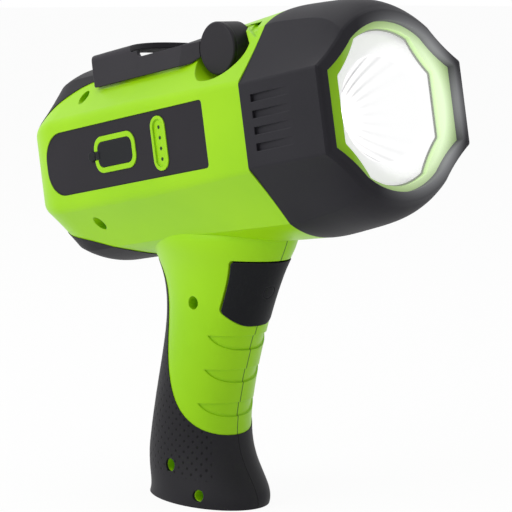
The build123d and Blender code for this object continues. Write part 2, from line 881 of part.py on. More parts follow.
def port_cover():
    """The moving cover with its plug and neck, and the anchored end of its tether."""
    outer = -ear_half_width
    cover = across(port_outline(0), outer, outer + cover_thickness)
    plug_end = outer + cover_thickness + plug_length
    cover += bar_y(-port_back, port_up, plug_radius, outer + cover_thickness / 2, plug_end)
    neck = (port_up - neck_width / 2, port_up + neck_width / 2)
    neck_out = -panel_face_y - neck_thickness
    cover += block(-hinge_back + fit, -port_back - port_length / 2 + overrun, neck_out, -panel_face_y, *neck)
    tether = block(-anchor_back, -hinge_back - fit, neck_out, -panel_face_y, *neck)
    tether += bar_y(-anchor_back, port_up, anchor_radius, -panel_face_y - anchor_height, -panel_face_y)
    stem_end = -ear_half_width + wall + anchor_height
    tether += bar_y(-anchor_back, port_up, anchor_stem_radius, -panel_face_y, stem_end)
    return beam * cover, beam * tether


def charge_jack():
    """Socket behind the port, with its centre pin."""
    front = -ear_half_width + port_boss_depth
    half_length, half_height = jack_length / 2, jack_height / 2
    body = block(
        -port_back - half_length,
        -port_back + half_length,
        front,
        front + jack_depth,
        port_up - half_height,
        port_up + half_height,
    )
    body -= bar_y(-port_back, port_up, jack_bore, front - overrun, front + jack_bore_depth)
    pin_start = front + jack_bore_depth - jack_pin_length
    body += bar_y(-port_back, port_up, jack_pin_radius, pin_start, front + jack_bore_depth + overrun)
    return beam * body


def indicator():
    """Light pipes in the pill, and the board behind them."""
    back = -ear_half_width + pill_boss_depth
    front = -ear_half_width + pill_recess - light_fit
    lights = [beam * bar_y(-pill_back, z, light_radius, front, back) for z in light_places()]
    half_width, half_height = pill_width / 2, pill_height / 2
    board = block(
        -pill_back - half_width,
        -pill_back + half_width,
        back,
        back + indicator_board_thickness,
        pill_up - half_height,
        pill_up + half_height,
    )
    return lights, beam * board


def battery():
    """Three cells in a tray, joined by strips at both ends."""
    x0, x1 = -tray_rear, -tray_rear + tray_length
    half = tray_half_width
    tray = block(x0, x1, -half, half, -tray_floor, -tray_down)
    for side in (-1, 1):
        y0, y1 = sorted((side * half, side * (half - tray_wall)))
        tray += block(x0, x1, y0, y1, -tray_floor, -tray_down + tray_side_height)
    tray += block(x0, x0 + tray_wall, -half, half, -tray_floor, -tray_down + tray_end_height)
    tray += block(x1 - tray_wall, x1, -half, half, -tray_floor, -tray_down + tray_end_height)
    middle = -tray_down + cell_fit + cell_radius
    cell_start = x0 + tray_wall + strip_thickness + cell_fit
    pitch = 2 * cell_radius + cell_gap
    cells = []
    for i in range(cell_count):
        y = (i - (cell_count - 1) / 2) * pitch
        cells.append(beam * bar_x(y, middle, cell_radius, cell_start, cell_start + cell_length))
    wide = (cell_count - 1) / 2 * pitch + strip_height / 2
    strips = []
    for x in (x0 + tray_wall, x1 - tray_wall - strip_thickness):
        z0, z1 = middle - strip_height / 2, middle + strip_height / 2
        strips.append(beam * block(x, x + strip_thickness, -wide, wide, z0, z1))
    return beam * tray, cells, strips


def driver_board():
    """The circuit board that drives the lamp, with its two tall parts."""
    board = block(-driver_rear, -driver_front, -driver_half_width, driver_half_width, -driver_under, -driver_down)
    middle = -(driver_rear + driver_front) / 2
    half_length = driver_part_length / 2
    for side in (-1, 1):
        y0, y1 = sorted((side * driver_half_width / 4, side * (driver_half_width / 4 + driver_part_width)))
        top = -driver_down + driver_part_height
        board += block(middle - half_length, middle + half_length, y0, y1, -driver_down, top)
    return beam * board


def arm_section(inset, crown_inset):
    """Half of the stand's section as edges: leaning flank, rounded shoulder, crown arc."""
    low = (arm_half_width - inset, arm_low)
    lean = arm_lean / (arm_shoulder_up - arm_low)
    bend_up = arm_shoulder_up - arm_shoulder
    bend = (arm_half_width - inset - lean * (bend_up - arm_low), bend_up)
    top = (arm_half_width - arm_lean - arm_shoulder, arm_shoulder_up - crown_inset)
    middle = ((bend[0] * 3 + top[0]) / 4, (bend[1] + top[1] * 2) / 3)
    crown = (0, arm_crown - crown_inset)
    edges = []
    for side in (-1, 1):
        ends = [(0, side * y, z) for y, z in (low, bend, middle, top)]
        edges += [Line(*ends[:2]), ThreePointArc(*ends[1:])]
    edges.append(ThreePointArc((0, -top[0], top[1]), (0, *crown), (0, top[0], top[1])))
    return edges, low


def stand_arm():
    """Bail over the head: a rail on each flank, joined by a curved saddle behind, with two knuckles."""
    outer, outer_low = arm_section(0, 0)
    inner, inner_low = arm_section(arm_thickness, arm_crown_thickness)
    soles = [Line((0, side * outer_low[0], arm_low), (0, side * inner_low[0], arm_low)) for side in (-1, 1)]
    section = make_face(Wire([*outer, *inner, *soles]))
    saddle = Pos(-arm_rear, 0, 0) * extrude(section, arm_rear - hub_back, dir=(1, 0, 0))
    saddle += [gusset(-1), gusset(1)]
    side_view = side_face(
        [
            (-arm_rear, arm_low),
            (-arm_rear, arm_crown + overrun),
            (-hub_back, arm_crown + overrun),
            (-hub_back, arm_low),
        ]
    )
    low_rear = side_view.vertices().sort_by_distance((-arm_rear, 0, arm_low))[:1]
    saddle &= across(fillet(low_rear, arm_corner), -reach / 4, reach / 4)
    narrow = -hub_back - hub_radius
    rail = [(-arm_rear, arm_half_width), (narrow - hub_radius, arm_half_width), (narrow, hub_half_width)]
    plan = rail + [(-hub_back, hub_half_width), (-hub_back, -hub_half_width)] + [(x, -y) for x, y in rail[::-1]]
    plan_face = make_face(Polyline(*((x, y, 0) for x, y in plan), close=True))
    plan_face = fillet(plan_face.vertices().sort_by(Axis.X)[:2], arm_corner)
    saddle &= extrude(plan_face, reach / 4, dir=(0, 0, 1))
    saddle -= arm_gap()
    for side in (-1, 1):
        saddle += bar_y(-hub_back, hub_up, hub_radius, side * knuckle_inner, side * knuckle_outer)
        saddle -= bar_y(-hub_back, hub_up, hub_radius, side * knuckle_outer, side * reach / 4)
    saddle -= bar_y(-hub_back, hub_up, pin_radius + running_fit, -reach / 4, reach / 4)
    return beam * saddle


def arm_gap():
    """Space between the rails: a bow in plan, its floor level with their tops."""
    wide = arm_half_width + overrun
    start, end = (-gap_corner_rear, -wide, 0), (-gap_corner_rear, wide, 0)
    front = [(-hub_back + hub_radius, wide, 0), (-hub_back + hub_radius, -wide, 0)]
    bow = ThreePointArc(start, (-gap_rear, 0, 0), end)
    line = Polyline(end, *front, start)
    high = arm_crown + overrun
    under = arm_shoulder_up - arm_shoulder
    floor = side_face(
        [
            (-hub_back + hub_radius, rail_up),
            (-gap_corner_rear, rail_up),
            (-gap_corner_rear, under),
            (-gap_rear - overrun, under),
            (-gap_rear - overrun, high),
            (-hub_back + hub_radius, high),
        ]
    )
    corner = floor.vertices().sort_by_distance((-gap_corner_rear, 0, rail_up))[:1]
    floor = fillet(corner, gap_corner)
    above = extrude(make_face(Wire([bow, *line.edges()])), reach / 4, dir=(0, 0, 1))
    return above & across(floor, -reach / 4, reach / 4)


def gusset(side):
    """Thicker front end of a rail, its inner face along the head's flank, where it meets its knuckle."""
    lean = arm_lean * (rail_up - arm_low) / (arm_shoulder_up - arm_low)
    corners = [
        (arm_half_width, arm_low),
        (arm_half_width - arm_thickness, arm_low),
        (gusset_inner, rail_up),
        (arm_half_width - lean, rail_up),
    ]
    face = make_face(Polyline(*((-gusset_rear, side * y, z) for y, z in corners), close=True))
    return extrude(face, gusset_rear - hub_back, dir=(1, 0, 0))


def hub_cap(side):
    """Bevelled disc that closes the hub on one side."""
    disc = bar_y(-hub_back, hub_up, hub_radius, side * knuckle_outer, side * hub_half_width)
    rims = disc.edges().filter_by(GeomType.CIRCLE).sort_by(Axis.Y)
    return beam * chamfer(rims[-1] if side > 0 else rims[0], cap_bevel)


def hub_hardware():
    """Through pin and the two friction washers."""
    pin = bar_y(-hub_back, hub_up, pin_radius, -knuckle_outer + fit, knuckle_outer - fit)
    washers = []
    for side in (-1, 1):
        y0, y1 = side * lug_half_width, side * (lug_half_width + washer_thickness)
        washer = bar_y(-hub_back, hub_up, washer_radius, y0, y1)
        washers.append(beam * (washer - bar_y(-hub_back, hub_up, pin_radius + running_fit, y0 * 2, -y0)))
    return beam * pin, washers


def trigger():
    """The trigger's curved face with its ring mark, the flange that holds it in, and its stem."""
    face = grip_form(-trigger_proud) & across(trigger_outline(), -reach / 4, reach / 4)
    wide = across(offset(trigger_outline(), flange_width, kind=Kind.ARC), -reach / 4, reach / 4)
    face = face + (grip_form(trigger_thickness - flange_depth) & wide) - grip_form(trigger_thickness)
    stem = squeeze * bar_x(0, 0, stem_radius, -stem_length, -trigger_thickness / 2)
    groove = bar_x(0, 0, trigger_mark_radius, -trigger_thickness, trigger_thickness)
    groove -= bar_x(0, 0, trigger_mark_radius - trigger_mark_width, -trigger_thickness, trigger_thickness)
    depth = grip_form(-trigger_proud - overrun) - grip_form(trigger_mark_depth - trigger_proud)
    return face + stem - (squeeze * groove & depth)


def trigger_spring():
    """Return spring round the trigger's stem, as one sleeve."""
    sleeve = bar_x(0, 0, stem_radius + fit + spring_wall, -guide_behind + fit, -spring_front)
    return squeeze * (sleeve - bar_x(0, 0, stem_radius + fit, -guide_behind, 0))


def switch():
    """The switch behind the trigger's stem, and its plunger."""
    body = block(
        -switch_rear,
        -switch_behind,
        -switch_half_width,
        switch_half_width,
        -switch_half_height,
        switch_half_height,
    )
    bore_end = -switch_behind - plunger_inside - trigger_travel - fit
    body -= bar_x(0, 0, plunger_radius + running_fit, bore_end, -switch_behind + overrun)
    plunger = bar_x(0, 0, plunger_radius, -switch_behind - plunger_inside, -stem_length - plunger_play)
    return squeeze * body, squeeze * plunger


def clamshell_screws():
    screws = []
    for x, z in screw_places():
        head = bar_y(x, z, screw_head_radius, -screw_seat - screw_head_height, -screw_seat)
        head -= bar_y(x, z, screw_radius, -screw_seat - screw_head_height - overrun, -screw_seat - overrun)
        screws.append(head + bar_y(x, z, screw_radius, -screw_seat, -screw_seat + screw_length))
    return screws


def lead(name, points):
    """A round lead along straight runs, each corner an arc as large as its runs allow."""
    ends = [Vector(*point) for point in points]
    radii = []
    for before, corner, after in zip(ends, ends[1:], ends[2:]):
        turn = radians((corner - before).get_angle(after - corner))
        shorter = min((corner - before).length, (after - corner).length)
        radii.append(bend_share * shorter / tan(turn / 2))
    print(name, "radii", [round(radius, 1) for radius in radii])
    path = FilletPolyline(*ends, radius=radii)
    start = Plane(origin=ends[0], z_dir=ends[1] - ends[0])
    return sweep(start * Circle(lead_radius), path=path)


def leads():
    """Pairs of wires: lamp, battery, charging and switch to the driver board."""
    board_top = -driver_down
    middle = -lead_drop
    tray_front = -tray_rear + tray_length
    jack_end, jack_y = -port_back + jack_length / 2, -ear_half_width + port_boss_depth + jack_depth / 2
    lamp_leads, battery_leads, charge_leads, switch_leads = [], [], [], []
    for side in (-1, 1):
        y = side * lead_half_gap
        x = -driver_front - lamp_lead_inset
        route = [(x, y, board_top), (x, y, middle), (x - middle, y, 0), (-sink_front, y, 0)]
        lamp_leads.append(beam * lead("lamp lead", route))
        x = -driver_rear + battery_lead_inset
        rise = middle + battery_lead_rise
        route = [(tray_front, y, rise), (x - battery_lead_run, y, rise), (x, y, middle), (x, y, board_top)]
        battery_leads.append(beam * lead("battery lead", route))
        z = port_up + side * lead_half_gap / 2
        x = -driver_rear + charge_lead_inset + side * lead_half_gap / 2
        corner_y = (jack_y - charge_lead_side) / 2 - charge_lead_out
        route = [
            (jack_end, jack_y, z),
            (x - charge_lead_run, jack_y, z),
            (x - charge_lead_out, corner_y, z - charge_lead_out),
            (x, -charge_lead_side, middle),
            (x, -charge_lead_side, board_top),
        ]
        charge_leads.append(beam * lead("charge lead", route))
        start, out = squeeze * Pos(-switch_rear, y, 0), squeeze * Pos(-switch_rear - switch_lead_run, y, 0)
        x = -driver_rear + switch_lead_inset
        below, end = beam * Pos(x, y, -driver_under - switch_lead_drop), beam * Pos(x, y, -driver_under)
        bend = Pos(switch_lead_ahead, y, switch_lead_height)
        route = [place.position for place in (start, out, bend, below, end)]
        switch_leads.append(lead("switch lead", [tuple(point) for point in route]))
    return lamp_leads, battery_leads, charge_leads, switch_leads


def save(name, *pieces):
    """Write one node: a single solid, or a group of them."""
    shape = pieces[0] if len(pieces) == 1 else Compound(children=[Compound(p.wrapped) for p in pieces])
    export_step(shape, "parts/" + name + ".step")
    print(name)


right_shell, left_shell = housings()
save("housing_right", port_and_pill(right_shell))
save("housing_left", left_shell)
right_skin, left_skin = overmoulds()
save("overmold_right", right_skin)
save("overmold_left", left_skin)
save("front_bezel", front_bezel())
front_ring, gasket, lens = front_stack()
save("front_ring", front_ring)
save("lens_gasket", gasket)
save("lens", lens)
save("reflector", reflector())
emitter, lamp_board, sink, sink_screws = lamp()
save("led_emitter", emitter)
save("led_board", lamp_board)
save("heat_sink", sink)
save("heat_sink_screws", *sink_screws)
right_panel, left_panel = side_panels()
save("side_panel_right", right_panel)
save("side_panel_left", left_panel)
cover, tether = port_cover()
save("port_cover", cover)
save("cover_tether", tether)
save("charge_jack", charge_jack())
lights, indicator_board = indicator()
save("indicator_lights", *lights)
save("indicator_board", indicator_board)
tray, cells, strips = battery()
save("battery_tray", tray)
save("battery_cells", *cells)
save("cell_strips", *strips)
save("driver_board", driver_board())
save("stand_arm", stand_arm())
save("hub_cap_right", hub_cap(-1))
save("hub_cap_left", hub_cap(1))
pin, washers = hub_hardware()
save("stand_pin", pin)
save("friction_washers", *washers)
save("trigger", trigger())
save("trigger_spring", trigger_spring())
switch_body, plunger = switch()
save("switch_body", switch_body)
save("switch_plunger", plunger)
save("housing_screws", *clamshell_screws())
lamp_pair, battery_pair, charge_pair, switch_pair = leads()
save("lamp_leads", *lamp_pair)
save("battery_leads", *battery_pair)
save("charge_leads", *charge_pair)
save("switch_leads", *switch_pair)
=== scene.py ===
import json
import math
import bmesh
import bpy
import numpy as np
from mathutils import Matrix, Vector


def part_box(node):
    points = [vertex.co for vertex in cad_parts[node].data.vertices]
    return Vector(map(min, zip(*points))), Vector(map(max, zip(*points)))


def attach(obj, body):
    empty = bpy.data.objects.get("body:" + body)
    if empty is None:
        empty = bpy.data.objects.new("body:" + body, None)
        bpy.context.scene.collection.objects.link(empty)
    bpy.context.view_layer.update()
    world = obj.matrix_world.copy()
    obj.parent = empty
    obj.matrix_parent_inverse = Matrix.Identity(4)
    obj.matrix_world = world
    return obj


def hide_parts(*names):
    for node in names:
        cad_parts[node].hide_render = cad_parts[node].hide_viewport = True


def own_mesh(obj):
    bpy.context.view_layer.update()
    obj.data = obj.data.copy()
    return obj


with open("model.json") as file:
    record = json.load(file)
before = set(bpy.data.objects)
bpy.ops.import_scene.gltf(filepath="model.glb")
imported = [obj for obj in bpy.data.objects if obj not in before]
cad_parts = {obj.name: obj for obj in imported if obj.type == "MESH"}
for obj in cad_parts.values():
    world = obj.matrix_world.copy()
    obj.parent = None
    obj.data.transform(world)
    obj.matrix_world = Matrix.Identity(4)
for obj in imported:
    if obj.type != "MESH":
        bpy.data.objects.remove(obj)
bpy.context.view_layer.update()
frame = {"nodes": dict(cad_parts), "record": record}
nodes = frame["nodes"]
print("frame loaded:", len(nodes), "nodes")

mm = 0.001  # a millimetre in the scene's metres
white = (1, 1, 1, 1)
black = (0, 0, 0, 1)

# Beam frame: x runs along the tilted beam from the bezel's front crease, y to its left and z up across it
head = {"tilt": math.radians(10.8), "ahead": 148.4 * mm, "height": 231.8 * mm}
headCos = math.cos(head["tilt"])
headSin = math.sin(head["tilt"])
headOrigin = (head["ahead"], 0, head["height"])
headAxes = ((headCos, 0, headSin), (0, 1, 0), (-headSin, 0, headCos))


# Beam coordinates to the scene's: the origin plus each coordinate times its axis
def toScene(points):
    return np.array(headOrigin) + points @ np.array(headAxes)


# A socket on its way through a material: arithmetic on it adds Math nodes
class Feed:
    def __init__(self, paint, socket):
        self.paint = paint
        self.socket = socket

    def __add__(self, other):
        return self.paint.maths("ADD", self, other)

    def __radd__(self, other):
        return self.paint.maths("ADD", other, self)

    def __sub__(self, other):
        return self.paint.maths("SUBTRACT", self, other)

    def __rsub__(self, other):
        return self.paint.maths("SUBTRACT", other, self)

    def __mul__(self, other):
        return self.paint.maths("MULTIPLY", self, other)

    def __rmul__(self, other):
        return self.paint.maths("MULTIPLY", other, self)

    def __pow__(self, other):
        return self.paint.maths("POWER", self, other)

    def __rpow__(self, other):
        return self.paint.maths("POWER", other, self)

    def __abs__(self):
        return self.paint.maths("ABSOLUTE", self)

    def clamped(self):
        return self.paint.maths("ADD", self, 0.0, clamp=True)

    # 0 up to a start, then climbing to 1 over a length
    def climbs(self, start, length):
        return ((self - start) * (1 / length)).clamped()

    # Falling from 1 to 0 over the length before an end
    def falls(self, end, length):
        return ((end - self) * (1 / length)).clamped()


# The nodes of one material, or of the world where that is given as the owner
class Paint:
    def __init__(self, name, owner=None):
        self.owner = owner or bpy.data.materials.new(name)
        self.owner.use_nodes = True
        self.tree = self.owner.node_tree
        self.tree.nodes.clear()
        if owner is None:
            self.place = self.node("ShaderNodeTexCoord", output="Object")

    def node(self, kind, settings=None, inputs=None, output=0):
        made = self.tree.nodes.new(kind)
        for key, value in (settings or {}).items():
            if key == "stops":
                self.setStops(made.color_ramp, value)
            else:
                setattr(made, key, value)
        for key, value in (inputs or {}).items():
            if isinstance(value, Feed):
                self.tree.links.new(value.socket, made.inputs[key])
            else:
                made.inputs[key].default_value = value
        return Feed(self, made.outputs[output])

    def setStops(self, ramp, stops):
        while len(ramp.elements) > len(stops):
            ramp.elements.remove(ramp.elements[-1])
        while len(ramp.elements) < len(stops):
            ramp.elements.new(1.0)
        for element, (place, shade) in zip(ramp.elements, stops):
            element.position = place
            element.color = (shade, shade, shade, 1.0)

    def maths(self, operation, *values, clamp=False):
        settings = {"operation": operation, "use_clamp": clamp}
        return self.node("ShaderNodeMath", settings, dict(enumerate(values)))

    def noise(self, scale, detail, rough=0.5):
        inputs = {"Vector": self.place, "Scale": scale, "Detail": detail, "Roughness": rough}
        return self.node("ShaderNodeTexNoise", None, inputs)

    def ramp(self, value, stops):
        return self.node("ShaderNodeValToRGB", {"stops": stops}, {0: value})

    # Colours mixed: the Mix node's factor is its input 0, and its colours are 6 and 7, with output 2
    def mix(self, factor, first, second):
        inputs = {0: factor, 6: first, 7: second}
        return self.node("ShaderNodeMix", {"data_type": "RGBA"}, inputs, output=2)

    def mixShaders(self, factor, first, second):
        return self.node("ShaderNodeMixShader", None, {0: factor, 1: first, 2: second})

    def vector(self, operation, first, second, output):
        return self.node("ShaderNodeVectorMath", {"operation": operation}, {0: first, 1: second}, output)

    # Distance of the surface point from a place, measured along a direction
    def reach(self, origin, direction):
        shifted = self.vector("SUBTRACT", self.place, origin, "Vector")
        return self.vector("DOT_PRODUCT", shifted, direction, "Value")

    # Place of the surface point in the beam frame: ahead, left and up, in metres
    def inBeam(self):
        return [self.reach(headOrigin, axis) for axis in headAxes]

    # 1 where the background is looked at, straight, mirrored or through glass, and 0 where it gives light
    def backdrop(self):
        rays = ("Is Camera Ray", "Is Glossy Ray", "Is Transmission Ray")
        straight, mirrored, through = [self.node("ShaderNodeLightPath", output=ray) for ray in rays]
        return (straight + mirrored + through).clamped()

    def close(self, surface, output="ShaderNodeOutputMaterial"):
        out = self.tree.nodes.new(output)
        self.tree.links.new(surface.socket, out.inputs["Surface"])
        return self.owner


# sRGB bytes to the linear colour that a shader takes
def colour(*levels):
    shares = [level / 255 for level in levels]
    linear = [share / 12.92 if share <= 0.04045 else ((share + 0.055) / 1.055) ** 2.4 for share in shares]
    return (*linear, 1.0)


# The parting line of the two shells
limeSeam = {"half": 0.42 * mm, "soft": 0.2 * mm, "depth": 6.0, "dark": 0.9, "shade": colour(60, 104, 6)}
blackSeam = {**limeSeam, "shade": colour(4, 4, 6)}


# 1 on a thin line in the middle plane
def seamLine(paint, look):
    left = paint.reach((0, 0, 0), (0, 1, 0))
    return abs(left).falls(look["half"], look["soft"])


# The dimples on the back of the grip, pressed in and painted nearly black as painted shade in the pits
gripDimples = {
    "wrapRadius": 30.0 * mm,
    "arcPitch": 6.4 * mm,
    "upPitch": 6.1 * mm,
    "radius": 1.0 * mm,
    "soft": 0.45 * mm,
    "from": 15.0 * mm,
    "to": 118.0 * mm,
    "fade": 1.5 * mm,
    "fromAngle": 0.62,  # radians from straight ahead
    "angleFade": 1 / 30,
    "latticeShifts": (0.0, 0.5),
    "depth": 14.0,  # in grain heights
    "dark": 0.9,
    "shade": colour(4, 4, 6),
}


# How far a place is, in metres, from the middle of the lattice step that it lies in
def fromMiddle(paint, place, pitch, shift):
    steps = place * (1 / pitch) + shift
    return (paint.maths("FRACT", steps) - 0.5) * pitch


# 1 in the round dimples, which stand on two lattices half a pitch apart and wrap round the back of the grip
def dimplePits(paint, look):
    ahead, left, up = [paint.reach((0, 0, 0), way) for way in ((1, 0, 0), (0, 1, 0), (0, 0, 1))]
    around = paint.maths("ARCTAN2", left, ahead)
    arc = around * look["wrapRadius"]
    lattices = []
    for shift in look["latticeShifts"]:
        across = fromMiddle(paint, arc, look["arcPitch"], shift)
        along = fromMiddle(paint, up, look["upPitch"], shift)
        away = (across * across + along * along) ** 0.5
        lattices.append(away.falls(look["radius"], look["soft"]))
    pits = (lattices[0] + lattices[1]).clamped()
    height = up.climbs(look["from"], look["fade"]) * up.falls(look["to"], look["fade"])
    return pits * height * abs(around).climbs(look["fromAngle"], look["angleFade"])


# The beam's light on the bezel's lip and on the ring inside it, more on the left side than the right
lipSpill = {
    "outer": 53.5 * mm,
    "fade": 11.0 * mm,
    "power": 1.6,
    "depth": 9.0 * mm,
    "sideways": 70.0 * mm,
    "nearShare": 0.3,
    "strength": 0.5,
    "tint": colour(236, 238, 240),
}
ringSpill = {
    **lipSpill,
    "outer": 56.0 * mm,
    "fade": 16.0 * mm,
    "depth": 14.0 * mm,
    "nearShare": 0.45,
    "strength": 0.85,
    "tint": white,
}


# Light on a surface round the opening: strongest at the lip, gone at the outer radius and at a depth
def spillGlow(paint, look):
    ahead, left, up = paint.inBeam()
    radius = (left * left + up * up) ** 0.5
    near = radius.falls(look["outer"], look["fade"]) ** look["power"]
    front = ahead.climbs(-look["depth"], look["depth"])
    side = (left * (1 / look["sideways"]) + look["nearShare"]).clamped()
    glow = near * front * side * look["strength"]
    return paint.mix(glow.clamped(), black, look["tint"])


# What all moulded finishes share
mouldLook = {
    "cloudDetail": 3.0,
    "cloudStops": [(0.3, 0.0), (0.7, 1.0)],
    "grainDetail": 2.0,
    "grainRough": 0.6,
    "fineRatio": 2.7,
    "fineDetail": 1.0,
    "fineHeight": 0.4,
    "speckFrom": 0.62,
    "speckFull": 0.72,
    "edgeSamples": 6,
    "edgeGain": 6.0,
}
limeLook = {
    **mouldLook,
    "dark": colour(150, 210, 0),
    "light": colour(162, 220, 6),
    "speckColour": colour(172, 230, 30),
    "speck": 0.15,
    "worn": colour(184, 236, 60),
    "wearAndHighlight": 0.25,
    "cloudScale": 14.0,
    "grainScale": 2400.0,
    "grainDepth": 0.04 * mm,
    "bump": 0.25,
    "edgeRadius": 0.7 * mm,
    "rough": 0.36,
    "roughSpread": 0.08,
    "roughGrain": 0.08,
    "shader": {"Specular IOR Level": 0.24},
}
blackLook = {
    **mouldLook,
    "dark": colour(33, 32, 36),
    "light": colour(39, 38, 42),
    "speckColour": colour(66, 65, 72),
    "speck": 0.3,
    "worn": colour(74, 73, 80),
    "wearAndHighlight": 0.35,
    "cloudScale": 20.0,
    "grainScale": 2000.0,
    "grainDepth": 0.06 * mm,
    "bump": 0.35,
    "edgeRadius": 0.8 * mm,
    "rough": 0.55,
    "roughSpread": 0.12,
    "roughGrain": 0.12,
    "shader": {"Specular IOR Level": 0.14},
}
metalLook = {**blackLook, "shader": {"Metallic": 1.0}}


# A look in other colours, with whatever else differs
def tinted(look, dark, light, **changes):
    return {**look, "dark": colour(*dark), "light": colour(*light), **changes}


mouldedLooks = {
    "limePlastic": {**limeLook, "seam": limeSeam},
    "ringLime": {**limeLook, "spill": ringSpill},
    "softBlack": {**blackLook, "seam": blackSeam, "dimples": gripDimples},
    "bezelRubber": tinted(blackLook, (35, 34, 39), (41, 40, 45), spill=lipSpill),
    "panelBlack": tinted(blackLook, (36, 34, 39), (41, 39, 44), grainScale=2600.0),
    "coverRubber": tinted(blackLook, (20, 22, 25), (26, 28, 32), speck=0.1, rough=0.4),
    # The stand's black is painted lighter than the caps' for the light on its upturned face: painted light
    "standBlackLit": tinted(blackLook, (44, 42, 47), (50, 48, 53), rough=0.5),
    "capBlack": tinted(blackLook, (37, 35, 40), (42, 40, 45), rough=0.42),
    "triggerBlack": tinted(blackLook, (12, 14, 17), (19, 20, 24), speck=0.6, grainScale=1600.0),
    "mouldedBlack": tinted(blackLook, (24, 24, 26), (30, 30, 32)),
    "greySeal": tinted(blackLook, (186, 186, 184), (204, 204, 202), worn=colour(214, 214, 212)),
    "nylonWhite": tinted(blackLook, (212, 210, 200), (222, 220, 212), worn=colour(235, 233, 228)),
    "boardGreen": tinted(blackLook, (16, 74, 40), (22, 92, 50), worn=colour(70, 130, 80)),
    "cellBlue": tinted(blackLook, (22, 60, 128), (28, 72, 146), rough=0.3),
    "wireRed": tinted(blackLook, (150, 24, 20), (170, 34, 28), rough=0.4),
    "wireBlack": tinted(blackLook, (18, 18, 18), (26, 26, 26), rough=0.4),
    "lightPipe": tinted(blackLook, (38, 60, 40), (44, 70, 44), rough=0.18),
    "castAlloy": tinted(metalLook, (190, 191, 193), (206, 207, 209), rough=0.45),
    "screwSteel": tinted(metalLook, (150, 150, 152), (172, 172, 174), rough=0.32),
    "springSteel": tinted(metalLook, (120, 120, 124), (140, 140, 144), rough=0.3),
    "nickel": tinted(metalLook, (196, 194, 186), (212, 210, 202), rough=0.28),
}


# Normal rounded at the edges, and how sharply the surface turns there, from the rounded normal's lean: the
# mask that lightens edges, as wear and as painted highlight
def roundedEdgeWearAndHighlight(paint, look):
    settings = {"samples": look["edgeSamples"]}
    rounded = paint.node("ShaderNodeBevel", settings, {"Radius": look["edgeRadius"]})
    plain = paint.node("ShaderNodeNewGeometry", output="Normal")
    lean = paint.vector("DOT_PRODUCT", rounded, plain, "Value")
    return rounded, ((1.0 - lean) * look["edgeGain"]).clamped()


# Moulded plastic, rubber or metal: clouded colour, fine grain with specks, edges lightened as wear and as
# painted highlight
def mouldedPaint(name, look):
    paint = Paint(name)
    cloud = paint.noise(look["cloudScale"], look["cloudDetail"])
    grain = paint.noise(look["grainScale"], look["grainDetail"], look["grainRough"])
    fine = paint.noise(look["grainScale"] * look["fineRatio"], look["fineDetail"])
    rounded, edge = roundedEdgeWearAndHighlight(paint, look)
    speck = paint.ramp(fine, [(look["speckFrom"], 0.0), (look["speckFull"], look["speck"])])
    base = paint.mix(paint.ramp(cloud, look["cloudStops"]), look["dark"], look["light"])
    base = paint.mix(speck, base, look["speckColour"])
    # Edges lightened: partly wear, partly painted highlight
    base = paint.mix(edge * look["wearAndHighlight"], base, look["worn"])
    height = grain + fine * look["fineHeight"]
    for key, pressed in (("dimples", dimplePits), ("seam", seamLine)):
        if key in look:
            mask = pressed(paint, look[key])
            # The dimples' dark colour is painted shade in the pits
            base = paint.mix(mask * look[key]["dark"], base, look[key]["shade"])
            height = height - mask * look[key]["depth"]
    rough = look["rough"] + (cloud - 0.5) * look["roughSpread"] + (grain - 0.5) * look["roughGrain"]
    relief = {"Strength": look["bump"], "Distance": look["grainDepth"], "Height": height, "Normal": rounded}
    bump = paint.node("ShaderNodeBump", None, relief)
    inputs = {"Base Color": base, "Roughness": rough, "Normal": bump, **look["shader"]}
    if "spill" in look:
        inputs["Emission Color"] = spillGlow(paint, look["spill"])
        inputs["Emission Strength"] = 1.0
    return paint.close(paint.node("ShaderNodeBsdfPrincipled", None, inputs))


paints = {name: mouldedPaint(name, look) for name, look in mouldedLooks.items()}

# The clear pane, and the beam's glow painted over its middle as white emission
lensLook = {
    "tint": (0.97, 0.98, 0.98, 1),
    "gloss": 0.06,
    "smearScale": 60.0,
    "smearDetail": 4.0,
    "smearRough": 0.6,
    "faceShine": 0.01,
    "smearShine": 0.04,
    "slantShine": 0.4,
    "slantPower": 4.0,
    "beamGlowLeft": 14.0 * mm,
    "beamGlowUp": -1.0 * mm,
    "beamGlowReach": 37.0 * mm,
    "beamGlowPower": 2.6,
    "beamGlowMost": 0.97,
}


# Seen through, glossier at a slant and in faint smears, and white where the painted glow of the beam is
# strong
def lensPaint(name, look):
    paint = Paint(name)
    smear = paint.noise(look["smearScale"], look["smearDetail"], look["smearRough"])
    gloss = paint.node("ShaderNodeBsdfGlossy", None, {"Color": white, "Roughness": look["gloss"]})
    clear = paint.node("ShaderNodeBsdfTransparent", None, {"Color": look["tint"]})
    slant = paint.node("ShaderNodeLayerWeight", None, {"Blend": 0.5}, output="Facing")
    slantShine = (slant ** look["slantPower"]) * look["slantShine"]
    shine = look["faceShine"] + smear * look["smearShine"] + slantShine
    pane = paint.mixShaders(shine, clear, gloss)
    ahead, left, up = paint.inBeam()
    left = left - look["beamGlowLeft"]
    up = up - look["beamGlowUp"]
    away = ((left * left + up * up) ** 0.5) * (1 / look["beamGlowReach"])
    beamGlow = (1.0 - away ** look["beamGlowPower"]).clamped() * look["beamGlowMost"]
    beam = paint.node("ShaderNodeEmission", None, {"Color": white, "Strength": 1.0})
    return paint.close(paint.mixShaders(beamGlow, pane, beam))


paints["clearLens"] = lensPaint("clearLens", lensLook)
